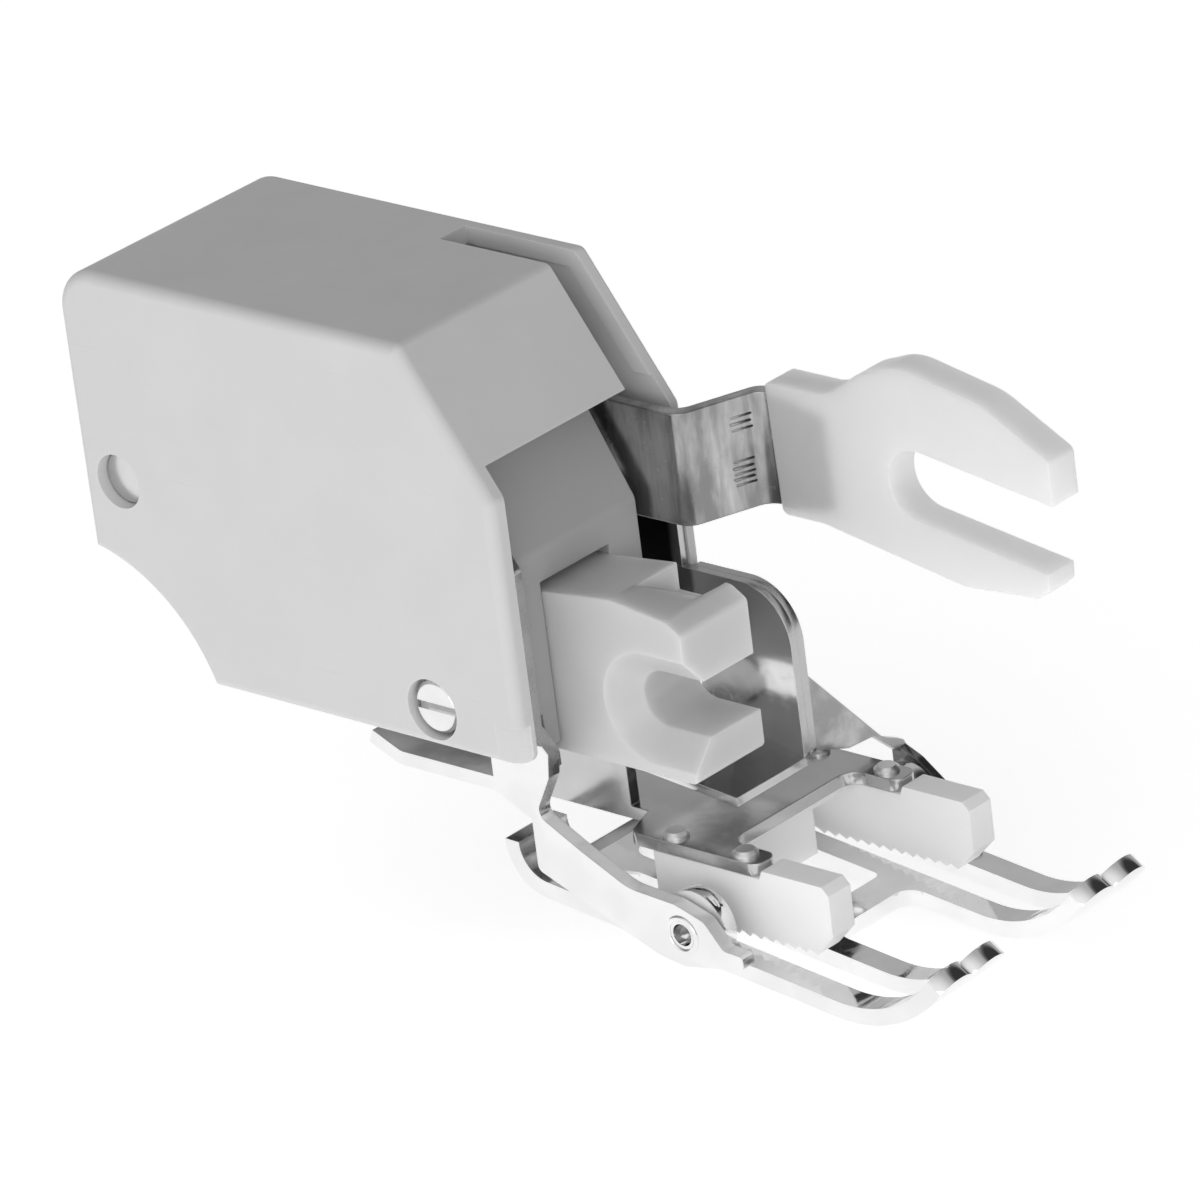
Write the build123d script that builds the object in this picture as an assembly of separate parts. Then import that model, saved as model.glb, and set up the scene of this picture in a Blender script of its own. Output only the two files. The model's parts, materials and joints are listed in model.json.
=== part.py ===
from build123d import *
import os
from math import atan2, cos, degrees, radians, sin, sqrt, tan

# Walking foot for a sewing machine, millimetres.
# It is drawn in housing coordinates: x to the right from the housing's left face, y to the rear
# from its front edges, z up from its lower edge. Every piece is then moved to the origin, which is
# the centre of the presser-bar slot's round end, at the middle of the wall that the screw clamps.

# Housing
HOUSING_WIDTH = 20.4
HOUSING_LENGTH = 41.1
HOUSING_HEIGHT = 31.3
SLANT_RUN = 7.4
SLANT_FOOT = 20.6
SLANT_LIP = 22.7
LEFT_WALL = 1.6
TOP_WALL = 1.4
REAR_WALL = 1.0
RIGHT_WALL = 1.0
TAIL_RADIUS = 3.5
FACE_EDGE_RADIUS = 0.9
SCOOP_RADIUS = 13.9
SCOOP_Y = 43.7
SCOOP_Z = -4.65
LEVER_SLOT_WIDTH = 2.7
LEVER_SLOT_LENGTH = 18.0
LEVER_SLOT_WALL = 1.2

# Sheet metal
LEFT_SHEET = 1.2
RIGHT_SHEET = 0.7
ARM_SHEET = 0.7
JOGGLE_TOP = 2.3
JOGGLE_BOTTOM = -0.1

# Recessed front wall
FRONT_RECESS = 1.6
FRONT_WALL = 1.6
FRONT_BEND = 14.4
FRONT_LEAN = 0.565
FRONT_RIGHT_GAP = 4.1

# Shank block
BLOCK_WIDTH = 7.3
BLOCK_FRONT = -11.3
BLOCK_REAR = 10.6
BLOCK_BOTTOM = -1.1
BLOCK_TOP = 11.3
BLOCK_CREST = 12.0
BLOCK_LIP = 10.5
BAR_SLOT_RADIUS = 2.15
BAR_SLOT_Y = -7.5
BAR_SLOT_Z = 4.05
SEAT_RADIUS = 4.3
SEAT_DEPTH = 1.9
NOTCH_REAR = -4.9
NOTCH_FRONT = -9.4
NOTCH_FLOOR = 9.9
NOTCH_WIDTH = 5.0
SCREW_Y = 8.4
SCREW_Z = 3.0
SCREW_RADIUS = 1.25
SCREW_HEAD_RADIUS = 2.05
SCREW_HOLE_RADIUS = 2.35
SCREW_LENGTH = 8.0

# Presser-bar channel beside the block
BAR_CHANNEL = 5.7
PLATE_TOP = 8.2
PLATE_FRONT = -9.5
PLATE_CORNER = 4.3
FLOOR_Z = -4.2
FLOOR_DROP = 0.9
FLOOR_REACH = 7.0
THROUGH = 60

# Lever
LEVER_FROM_REAR = 3.7
LEVER_Z = 15.0
LEVER_SHEET = 1.0
LEVER_FROM_RIGHT = 3.3
LEVER_BOTTOM = 12.45
LEVER_TOP = 21.2
LEVER_REAR_TOP = 18.0
LEVER_HUB_RADIUS = 1.8
LEVER_PIN_RADIUS = 0.95
LEVER_SPACER_RADIUS = 1.5
LEVER_PIN_HEAD = 2.0
LEVER_SWING = 28.0
LEVER_BEND_Y = -1.9
LEVER_BEND_RADIUS = 1.4
FORK_OFFSET = 5.6
FORK_THICKNESS = 2.9
FORK_REAR = -6.2
FORK_SLOT_RADIUS = 2.75
FORK_SLOT_Y = -19.8
FORK_SLOT_Z = 16.8
FORK_SLOT_TILT = 8.5
RUNNING_FIT = 0.05
CLEARANCE = 0.3

# Rocker between lever and feed
ROCKER_Y = 21.5
ROCKER_Z = LEVER_Z
ROCKER_FROM_LEVER = 3.4
ROCKER_THICKNESS = 1.5
ROCKER_REAR_ARM = 8.0
ROCKER_PIN_RADIUS = 1.25
ROCKER_HUB = 3.0
DRIVE_PIN_RADIUS = 1.2
FRONT_ARM = 5.8
SLIDE_PIN_RADIUS = 1.0

# Feed carrier, its slide and its pads
SLIDE_FROM_LEVER = 4.9
SLIDE_SHEET = 1.0
SLIDE_FRONT = 13.8
SLIDE_REAR = 19.3
SLIDE_BOTTOM = 1.5
GUIDE_PIN_RADIUS = 0.9
GUIDE_PIN_Y = 18.1
GUIDE_PIN_Z = (3.6, 7.2)
FEED_STROKE = 4.0
RAIL = 0.9
CHANNEL_BOTTOM = 1.0
CHANNEL_TOP = 9.6
CARRIER_FROM_SLIDE = 1.4
CARRIER_SHEET = 1.0
CARRIER_TOP = -7.5
LEG_WIDTH = 2.3
LEG_FRONT = -14.2
PAD_WIDTH = 2.4
PAD_REAR = -4.3
PAD_FRONT = -20.8
PAD_BOTTOM = -13.0
PAD_TOP_CHAMFER = 0.6
PAD_TOE_CHAMFER = 1.4
PAD_WALL_FRONT = -8.7
PAD_WALL_REAR = -5.5
PAD_WALL_BOTTOM = -9.5
LUG_GAP = 0.9
TOOTH_PITCH = 1.05
TOOTH_HEIGHT = 0.35

# Springs
COIL_RADIUS = 1.35
WIRE_RADIUS = 0.25
SPRING_STUD_RADIUS = 0.8
SPRING_STUD_LENGTH = 2.4
STROKE_SPRING_Z = 6.4
SEAT_BEFORE_LEVER_PIN = 7.0

# Sole
SOLE_FROM_BAR = 0.6
SOLE_HALF = 11.4
SOLE_SHEET = 1.3
PIVOT_Y = -10.5
PIVOT_Z = -11.8
PIVOT_ABOVE_SOLE = 1.8
SOLE_PITCH = 6.6
TOE_WIDTH = 7.2
HEEL_WIDTH = 5.2
WEB_FRONT = 12.9
WEB_DEPTH = 2.8
FEED_SLOT_FRONT = 18.5
FEED_SLOT_REAR = 11.7
OUTER_RAIL = 2.1
FEED_SLOT_WIDTH = 3.1
TOE_START = 12.5
TOE_RADIUS = 10.0
TOE_ANGLE = 62
TOE_LOBE = 2.3
HEEL_START = 14.7
HEEL_RADIUS = 2.6
HEEL_ANGLE = 85
EAR_RADIUS = 2.8
EAR_SHEET = 1.2
EYELET_RADIUS = 1.25
EYELET_BORE = 0.85
EYELET_FLANGE = 1.6
ARM_OUTSIDE_SOLE = 1.45
ARM_RIVET_RADIUS = 0.9
FLARE_Y = -8.5
FEED_RIVET_RADIUS = 0.6
FEED_RIVET_Y = (-5.6, -12.2)
ARM_RIVET_Y = -2.2
ARM_RIVET_Z = (4.6, -1.6)

# Places that follow from the sizes above
CAVITY_RIGHT = HOUSING_WIDTH - RIGHT_WALL
RIGHT_PLATE_X = CAVITY_RIGHT - RIGHT_SHEET
RIGHT_OUTSIDE = CAVITY_RIGHT + ARM_SHEET
BLOCK_RIGHT = RIGHT_PLATE_X - BAR_CHANNEL
BLOCK_LEFT = BLOCK_RIGHT - BLOCK_WIDTH
FRONT_RIGHT_EDGE = HOUSING_WIDTH - FRONT_RIGHT_GAP
SOLE_CENTRE = BLOCK_RIGHT + BAR_CHANNEL / 2 + SOLE_FROM_BAR
FEED_SLOT_OFFSET = SOLE_HALF - OUTER_RAIL - FEED_SLOT_WIDTH / 2
ARM_CENTRE_OFFSET = SOLE_HALF + ARM_OUTSIDE_SOLE
LEVER_X = HOUSING_WIDTH - LEVER_FROM_RIGHT
LEVER_Y = HOUSING_LENGTH - LEVER_FROM_REAR
FORK_X = LEVER_X + FORK_OFFSET
ROCKER_X = LEVER_X - ROCKER_FROM_LEVER
SLIDE_X = LEVER_X - SLIDE_FROM_LEVER
CARRIER_X = SLIDE_X - CARRIER_FROM_SLIDE
FLOOR_LEFT = RIGHT_PLATE_X - FLOOR_REACH
DRIVE_RADIUS = LEVER_Y - ROCKER_Y - ROCKER_REAR_ARM
LEFT_PLATE_X = LEFT_WALL
LEFT_PLATE_INNER = LEFT_PLATE_X + LEFT_SHEET
LEFT_ARM_X = SOLE_CENTRE - ARM_CENTRE_OFFSET - LEFT_SHEET / 2
RIGHT_ARM_X = SOLE_CENTRE + ARM_CENTRE_OFFSET - ARM_SHEET / 2
HALF_SWING = LEVER_SWING / 2
DRIVE_Y = LEVER_Y - DRIVE_RADIUS * cos(radians(HALF_SWING))
DRIVE_Z = LEVER_Z - DRIVE_RADIUS * sin(radians(HALF_SWING))
ROCKER_HALF_TILT = degrees(atan2(LEVER_Z - DRIVE_Z, DRIVE_Y - ROCKER_Y))
SLIDE_PIN_Y = ROCKER_Y - FRONT_ARM
SLIDE_PIN_Z = ROCKER_Z + FRONT_ARM * tan(radians(ROCKER_HALF_TILT))
FEED_TRAVEL = 2 * FRONT_ARM * tan(radians(ROCKER_HALF_TILT))
SLIDE_TOP = SLIDE_PIN_Z + SLIDE_PIN_RADIUS + 1.2
GRIP_LEFT = BLOCK_LEFT + SEAT_DEPTH
LIFT_SPRING_X = SLIDE_X + SLIDE_SHEET / 2
LIFT_SPRING_Y = (SLIDE_FRONT + SLIDE_REAR) / 2
STROKE_SPRING_SEAT = LEVER_Y - SEAT_BEFORE_LEVER_PIN
CARRIER_REAR = GUIDE_PIN_Y + GUIDE_PIN_RADIUS + 1.4
ARM_RIVETS = [(ARM_RIVET_Y, z) for z in ARM_RIVET_Z]
CHANNEL_RIVETS = [(SLIDE_FRONT - CLEARANCE - RAIL / 2, 3.2), (SLIDE_REAR + CLEARANCE + RAIL / 2, 3.2)]
FEED_RIVETS = [(SOLE_CENTRE + side * FEED_SLOT_OFFSET, y) for side in (-1, 1) for y in FEED_RIVET_Y]
TO_ORIGIN = Pos(-(GRIP_LEFT + BLOCK_RIGHT) / 2, -BAR_SLOT_Y, -BAR_SLOT_Z)


def outline(points, radii=0):
    """Closed face with rounded corners, in its own flat coordinates."""
    return make_face(FilletPolyline(*points, radius=radii, close=True))


def side_plate(points, radii, x0, x1):
    """Plate with a (y, z) outline, from x0 to x1."""
    return extrude(Plane.YZ.offset(x0) * outline(points, radii), x1 - x0, dir=(1, 0, 0))


def plan_plate(points, radii, z0, z1):
    """Plate with an (x, y) outline, from z0 to z1."""
    return extrude(Pos(0, 0, z0) * outline(points, radii), z1 - z0, dir=(0, 0, 1))


def front_plate(points, radii, y0, y1):
    """Plate with an (x, z) outline, from y0 to y1."""
    return extrude(Plane.XZ.offset(-y0) * outline(points, radii), y1 - y0, dir=(0, 1, 0))


def x_rod(radius, x0, x1, y, z):
    """Round bar along x."""
    return Pos((x0 + x1) / 2, y, z) * Rot(0, 90, 0) * Cylinder(radius, x1 - x0)


def z_rod(radius, z0, z1, x, y):
    """Round bar along z."""
    return Pos(x, y, (z0 + z1) / 2) * Cylinder(radius, z1 - z0)


def block(x0, x1, y0, y1, z0, z1):
    """Plain block between two corners."""
    return Pos((x0 + x1) / 2, (y0 + y1) / 2, (z0 + z1) / 2) * Box(x1 - x0, y1 - y0, z1 - z0)


def bent_strip(path, thickness, bend):
    """Outline of a bent sheet: the path is its right-hand side, and the sheet lies to its left."""
    other = []
    radii_near = []
    radii_far = []
    for i, point in enumerate(path):
        here = Vector(*point)
        before = (here - Vector(*path[i - 1])).normalized() if i else None
        after = (Vector(*path[i + 1]) - here).normalized() if i + 1 < len(path) else None
        first = before or after
        second = after or before
        mitre = (Vector(-first.Y, first.X) + Vector(-second.Y, second.X)).normalized()
        reach = thickness / mitre.dot(Vector(-first.Y, first.X))
        other.append(tuple(here + mitre * reach)[:2])
        turn = first.X * second.Y - first.Y * second.X
        at_end = before is None or after is None
        radii_near.append(0 if at_end else bend + thickness * (turn > 0))
        radii_far.append(0 if at_end else bend + thickness * (turn < 0))
    return list(path) + other[::-1], radii_near + radii_far[::-1]


def slant_y(z, inset=0):
    """Where the slanted front lies at height z, or a wall's thickness behind it."""
    rise = HOUSING_HEIGHT - SLANT_FOOT
    slope_length = (rise ** 2 + SLANT_RUN ** 2) ** 0.5
    return SLANT_RUN * (z - SLANT_FOOT) / rise + inset * slope_length / rise


def make_housing():
    """Moulded cover, open below and in front, with the lever slot along its right side."""
    corners = [(0, 0), (0, SLANT_FOOT), (SLANT_RUN, HOUSING_HEIGHT),
               (HOUSING_LENGTH, HOUSING_HEIGHT), (HOUSING_LENGTH, 0)]
    shell = side_plate(corners, [1.0, 1.0, 0.8, TAIL_RADIUS, 0], 0, HOUSING_WIDTH)
    shell -= x_rod(SCOOP_RADIUS, -1, HOUSING_WIDTH + 1, SCOOP_Y, SCOOP_Z)
    left_edges = shell.faces().sort_by(Axis.X)[0].edges()
    shell = fillet(left_edges, FACE_EDGE_RADIUS)
    right_edges = shell.faces().sort_by(Axis.X)[-1].edges()
    shell = fillet(right_edges, FACE_EDGE_RADIUS / 2)
    ceiling = HOUSING_HEIGHT - TOP_WALL
    inner = [(-1, -1), (-1, SLANT_LIP), (slant_y(SLANT_LIP, TOP_WALL), SLANT_LIP),
             (slant_y(ceiling, TOP_WALL), ceiling), (HOUSING_LENGTH - REAR_WALL, ceiling),
             (HOUSING_LENGTH - REAR_WALL, -1)]
    radii = [0, 0, 0, 0, TAIL_RADIUS - REAR_WALL, 0]
    cavity = side_plate(inner, radii, LEFT_WALL, CAVITY_RIGHT)
    cavity -= x_rod(SCOOP_RADIUS + TOP_WALL, -1, HOUSING_WIDTH + 1, SCOOP_Y, SCOOP_Z)
    shell -= cavity
    slot_right = HOUSING_WIDTH - LEVER_SLOT_WALL
    shell -= block(slot_right - LEVER_SLOT_WIDTH, slot_right, -1, LEVER_SLOT_LENGTH,
                   SLANT_LIP - 1, HOUSING_HEIGHT + 1)
    shell -= x_rod(LEVER_PIN_HEAD + 0.1, -1, LEFT_WALL, LEVER_Y, LEVER_Z)
    shell -= x_rod(SCREW_HOLE_RADIUS, -1, LEFT_WALL, SCREW_Y, SCREW_Z)
    bevel_depth = 0.75 * LEFT_WALL
    shell -= plan_plate([(-1, -1), (-1, 2.4), (0, 2.4), (bevel_depth, 0.6), (bevel_depth, -1)], 0, -1, 3.1)
    shell += z_rod(SPRING_STUD_RADIUS, ceiling - SPRING_STUD_LENGTH, ceiling, LIFT_SPRING_X, LIFT_SPRING_Y)
    return shell


def make_front_wall():
    """Recessed inner wall that closes the front, with an opening for the shank block."""
    ceiling = HOUSING_HEIGHT - TOP_WALL
    top_y = FRONT_RECESS + (ceiling - FRONT_BEND) * FRONT_LEAN
    points = [(FRONT_RECESS, -0.4), (FRONT_RECESS, FRONT_BEND), (top_y, ceiling),
              (top_y + FRONT_WALL * 1.15, ceiling), (FRONT_RECESS + FRONT_WALL, FRONT_BEND - 0.4),
              (FRONT_RECESS + FRONT_WALL, -0.4)]
    wall = side_plate(points, [0, 1.2, 0, 0, 0, 0], LEFT_PLATE_INNER, FRONT_RIGHT_EDGE)
    opening = block(BLOCK_LEFT, BLOCK_RIGHT, -1, BLOCK_REAR, BLOCK_BOTTOM - 1, BLOCK_CREST)
    arm_notch = block(0, LEFT_ARM_X + LEFT_SHEET, -1, BLOCK_REAR, BLOCK_BOTTOM - 1, JOGGLE_TOP)
    return wall - opening - arm_notch


def lower_arm(x0, x1):
    """Arm that carries the sole: a slanting bar with a round ear and a small front tab."""
    points = [(0.7, -2.0), (2.4, -5.2), (-1.65, -7.3), (-5.75, -9.2), (PIVOT_Y + 0.4, PIVOT_Z + 2.3),
              (PIVOT_Y - 2.2, PIVOT_Z + 1.5), (PIVOT_Y - 3.8, PIVOT_Z - 0.4),
              (PIVOT_Y - 5.6, PIVOT_Z - 0.5), (PIVOT_Y - 5.6, PIVOT_Z - 1.5),
              (PIVOT_Y, PIVOT_Z - 2.5), (-8.0, -13.9), (2.9, -9.7), (2.9, -5.7), (6.2, -4.1),
              (6.2, JOGGLE_BOTTOM), (0.45, JOGGLE_BOTTOM)]
    radii = [0.6, 0.9, 3, 4, 1.5, 1.2, 0.6, 0.4, 0.4, 0.8, 3, 0.6, 0, 0, 0, 0]
    arm = side_plate(points, radii, x0, x1)
    arm -= x_rod(EYELET_RADIUS, x0 - 1, x1 + 1, PIVOT_Y, PIVOT_Z)
    return arm


def make_left_chassis():
    """Left side plate, with a joggle to the lower arm and a curled tongue under the housing."""
    top = 19.5
    points = [(0.45, JOGGLE_TOP), (0.45, FRONT_BEND), (4.0, top), (LEVER_Y + 1.6, top), (LEVER_Y + 1.6, 11.0),
              (30, 5.5), (20, 0.3), (6.2, 0.3), (6.2, JOGGLE_TOP)]
    plate = side_plate(points, [0, 0.6, 0.6, 1.5, 1.5, 2, 2, 0, 0], LEFT_PLATE_X, LEFT_PLATE_INNER)
    joggle = [(LEFT_PLATE_X, JOGGLE_TOP), (LEFT_ARM_X, JOGGLE_BOTTOM),
              (LEFT_ARM_X + LEFT_SHEET, JOGGLE_BOTTOM), (LEFT_PLATE_INNER, JOGGLE_TOP)]
    plate += front_plate(joggle, 0, 0.45, 6.2)
    plate += lower_arm(LEFT_ARM_X, LEFT_ARM_X + LEFT_SHEET)
    tongue_path = [(4.7, -4.1), (15.5, -4.1), (18.3, -2.9)]
    tongue, radii = bent_strip(tongue_path, LEFT_SHEET * 0.9, 1.5)
    plate += side_plate(tongue, radii, LEFT_ARM_X, 8.5)
    plate -= x_rod(LEVER_PIN_RADIUS, 0, THROUGH, LEVER_Y, LEVER_Z)
    plate -= x_rod(ROCKER_PIN_RADIUS, 0, THROUGH, ROCKER_Y, ROCKER_Z)
    plate -= x_rod(SCREW_RADIUS, 0, THROUGH, SCREW_Y, SCREW_Z)
    return plate


def bar_plate(x0, x1):
    """The part of both right-hand sheets that stands beside the presser bar."""
    points = [(-0.3, FLOOR_Z - 1), (-0.3, PLATE_TOP), (PLATE_FRONT, PLATE_TOP),
              (PLATE_FRONT, FLOOR_Z - FLOOR_DROP)]
    return side_plate(points, [0, 0, PLATE_CORNER, 0.6], x0, x1)


def make_right_chassis():
    """Right side plate, whose lower edge is bent inwards as a floor under the presser bar."""
    top = 19.5
    points = [(-0.3, 0.5), (-0.3, PLATE_TOP), (0.2, PLATE_TOP), (0.2, FRONT_BEND), (4.0, top),
              (LEVER_Y + 1.6, top), (LEVER_Y + 1.6, 11.0), (30, 5.5), (20, 0.5)]
    plate = side_plate(points, [0, 0, 0, 0.6, 0.6, 1.5, 1.5, 2, 2], RIGHT_PLATE_X, CAVITY_RIGHT)
    plate += bar_plate(RIGHT_PLATE_X, CAVITY_RIGHT)
    floor = [(0, FLOOR_Z), (PLATE_FRONT + 0.4, FLOOR_Z - FLOOR_DROP),
             (PLATE_FRONT + 0.4, FLOOR_Z - FLOOR_DROP - RIGHT_SHEET), (0, FLOOR_Z - RIGHT_SHEET)]
    plate += side_plate(floor, 0, FLOOR_LEFT, CAVITY_RIGHT)
    plate -= x_rod(LEVER_PIN_RADIUS, 0, THROUGH, LEVER_Y, LEVER_Z)
    for y, z in ARM_RIVETS:
        plate -= x_rod(ARM_RIVET_RADIUS, 0, THROUGH, y, z)
    for y, z in CHANNEL_RIVETS:
        plate -= x_rod(ARM_RIVET_RADIUS, 0, THROUGH, y, z)
    return plate


def make_right_arm():
    """Outer right sheet: it lies on the chassis plate, flares outwards and carries the sole's ear."""
    arm = bar_plate(CAVITY_RIGHT, RIGHT_OUTSIDE)
    ear_outside = RIGHT_ARM_X + ARM_SHEET
    flare = [(CAVITY_RIGHT, 1.2), (RIGHT_OUTSIDE, 1.2), (RIGHT_ARM_X - 1.6, -6.9), (ear_outside, -8.0),
             (ear_outside, PIVOT_Z - 1.6), (RIGHT_ARM_X, PIVOT_Z - 1.6), (RIGHT_ARM_X, -8.7),
             (RIGHT_ARM_X - 2.5, -6.4), (RIGHT_ARM_X - 5.3, -6.2), (CAVITY_RIGHT, -4.6)]
    arm += front_plate(flare, [0, 0.5, 3, 0.6, 0, 0, 0, 0.6, 1, 0], FLARE_Y - 1.1 * ARM_SHEET, FLARE_Y)
    ear = [(FLARE_Y, -8.0), (PIVOT_Y - 0.3, -9.0), (PIVOT_Y - 2.4, PIVOT_Z + 1.2),
           (PIVOT_Y - 3.8, PIVOT_Z - 0.4), (PIVOT_Y - 5.4, PIVOT_Z - 0.5), (PIVOT_Y - 5.4, PIVOT_Z - 1.5),
           (PIVOT_Y, PIVOT_Z - 2.5), (FLARE_Y, PIVOT_Z - 1.6)]
    arm += side_plate(ear, [0, 1.5, 1.5, 0.8, 0.4, 0.4, 1.2, 0], RIGHT_ARM_X, ear_outside)
    arm -= x_rod(EYELET_RADIUS, 0, THROUGH, PIVOT_Y, PIVOT_Z)
    for y, z in ARM_RIVETS:
        arm -= x_rod(ARM_RIVET_RADIUS, 0, THROUGH, y, z)
    return arm


def make_arm_rivets():
    """Two rivets through both right-hand sheets, with low heads outside."""
    rivets = []
    for y, z in ARM_RIVETS:
        rivet = x_rod(ARM_RIVET_RADIUS, RIGHT_PLATE_X, RIGHT_OUTSIDE, y, z)
        rivet += x_rod(ARM_RIVET_RADIUS + 0.6, RIGHT_OUTSIDE, RIGHT_OUTSIDE + 0.5, y, z)
        rivets.append(rivet)
    return Compound(rivets)


def make_shank_block():
    """Nylon block with the open slot for the presser-bar screw and a dished seat for its shoulder."""
    points = [(BLOCK_FRONT, BLOCK_BOTTOM), (BLOCK_FRONT, BLOCK_LIP), (NOTCH_FRONT - 0.6, BLOCK_TOP),
              (NOTCH_REAR, BLOCK_CREST), (FRONT_RECESS, BLOCK_TOP), (BLOCK_REAR, BLOCK_TOP),
              (BLOCK_REAR, BLOCK_BOTTOM)]
    body = side_plate(points, [0.5, 0.5, 0.8, 3, 3, 0.3, 0.3], BLOCK_LEFT, BLOCK_RIGHT)
    body += x_rod(SCREW_RADIUS + 0.85, LEFT_PLATE_INNER, BLOCK_LEFT, SCREW_Y, SCREW_Z)
    slot = x_rod(BAR_SLOT_RADIUS, 0, THROUGH, BAR_SLOT_Y, BAR_SLOT_Z)
    slot += block(0, THROUGH, BLOCK_FRONT - 1, BAR_SLOT_Y, BAR_SLOT_Z - BAR_SLOT_RADIUS,
                  BAR_SLOT_Z + BAR_SLOT_RADIUS)
    dish_angle = degrees(atan2(SEAT_RADIUS - BAR_SLOT_RADIUS, SEAT_DEPTH))
    mouth = Pos(BAR_SLOT_Y, BAR_SLOT_Z) * Circle(SEAT_RADIUS)
    run = BAR_SLOT_Y - BLOCK_FRONT + 2 * SEAT_RADIUS
    mouth += Pos(BAR_SLOT_Y - run / 2, BAR_SLOT_Z) * Rectangle(run, 2 * SEAT_RADIUS)
    dish = extrude(Plane.YZ.offset(BLOCK_LEFT) * mouth, SEAT_DEPTH, taper=dish_angle)
    ramp = front_plate([(BLOCK_RIGHT - NOTCH_WIDTH, BLOCK_CREST + 0.2), (BLOCK_RIGHT + 1, BLOCK_CREST + 0.2),
                        (BLOCK_RIGHT + 1, NOTCH_FLOOR), (BLOCK_RIGHT - 0.5, NOTCH_FLOOR)],
                       0, NOTCH_FRONT, NOTCH_REAR)
    screw_hole = x_rod(SCREW_RADIUS, 0, LEFT_PLATE_X + SCREW_LENGTH, SCREW_Y, SCREW_Z)
    return body - slot - dish - ramp - screw_hole


def make_screw():
    """Slotted screw, sunk in the housing's hole, that holds the block to the left plate."""
    head_x = LEFT_PLATE_X - 1.2
    screw = x_rod(SCREW_HEAD_RADIUS, head_x, LEFT_PLATE_X, SCREW_Y, SCREW_Z)
    rim = screw.faces().sort_by(Axis.X)[0].edges()
    screw = chamfer(rim, 0.25)
    screw += x_rod(SCREW_RADIUS, LEFT_PLATE_X, LEFT_PLATE_X + SCREW_LENGTH, SCREW_Y, SCREW_Z)
    groove = block(head_x - 1, head_x + 0.6, SCREW_Y - 3, SCREW_Y + 3, SCREW_Z - 0.3, SCREW_Z + 0.3)
    return screw - groove


def make_lever():
    """Steel strip: it swings on the rear pin and cranks outwards to the needle fork."""
    fork_strip_x = FORK_X + 0.6
    path = [(LEVER_X + LEVER_SHEET, LEVER_Y + 5), (LEVER_X + LEVER_SHEET, LEVER_BEND_Y),
            (fork_strip_x + LEVER_SHEET, LEVER_BEND_Y - 2.4), (fork_strip_x + LEVER_SHEET, FORK_REAR - 6)]
    points = bent_strip(path, -LEVER_SHEET, 0)[0]
    radii = [0 if i in (0, 3, 4, 7) else LEVER_BEND_RADIUS for i in range(8)]
    strip = plan_plate(points, radii, 0, 40)
    ear = DRIVE_PIN_RADIUS + 1.1
    side = [(FORK_REAR - 5, LEVER_BOTTOM + 0.8), (FORK_REAR, LEVER_BOTTOM), (24.0, LEVER_BOTTOM),
            (DRIVE_Y - ear, DRIVE_Z - ear), (DRIVE_Y + ear, DRIVE_Z - ear),
            (LEVER_Y, LEVER_Z - LEVER_HUB_RADIUS), (LEVER_Y, LEVER_Z + LEVER_HUB_RADIUS),
            (LEVER_Y - 5, LEVER_REAR_TOP), (9.0, LEVER_REAR_TOP), (5.0, LEVER_TOP),
            (FORK_REAR, LEVER_TOP), (FORK_REAR - 5, LEVER_TOP - 0.8)]
    profile = side_plate(side, [0, 0, 1, 1, 1, 0, 0, 2, 3, 1.5, 0, 0], 0, THROUGH)
    profile += x_rod(LEVER_HUB_RADIUS, 0, THROUGH, LEVER_Y, LEVER_Z)
    lever = strip & profile
    lever -= x_rod(LEVER_PIN_RADIUS + RUNNING_FIT, 0, THROUGH, LEVER_Y, LEVER_Z)
    lever -= x_rod(DRIVE_PIN_RADIUS, 0, THROUGH, DRIVE_Y, DRIVE_Z)
    return lever


def make_fork(lever):
    """Nylon fork moulded on the lever's end, with an open slot for the needle-clamp screw."""
    points = [(FORK_REAR, 22.3), (-12.0, 22.3), (-15.2, 24.6), (-18.8, 25.9), (-26.4, 24.4),
              (-32.2, 21.2), (-32.2, 14.9), (-31.2, 14.6), (-31.0, 11.1), (-30.1, 10.3), (-23.2, 9.8),
              (-10.4, 12.1), (FORK_REAR - 0.3, 12.1)]
    radii = [0.4, 4, 4, 5, 6, 0.6, 0.2, 0.2, 0.5, 0.6, 6, 4, 0.6]
    fork = side_plate(points, radii, FORK_X, FORK_X + FORK_THICKNESS)
    slot = x_rod(FORK_SLOT_RADIUS, 0, THROUGH, 0, 0)
    slot += block(0, THROUGH, -THROUGH, 0, -FORK_SLOT_RADIUS, FORK_SLOT_RADIUS)
    fork -= Pos(0, FORK_SLOT_Y, FORK_SLOT_Z) * Rot(FORK_SLOT_TILT, 0, 0) * slot
    return fork - lever


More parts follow.
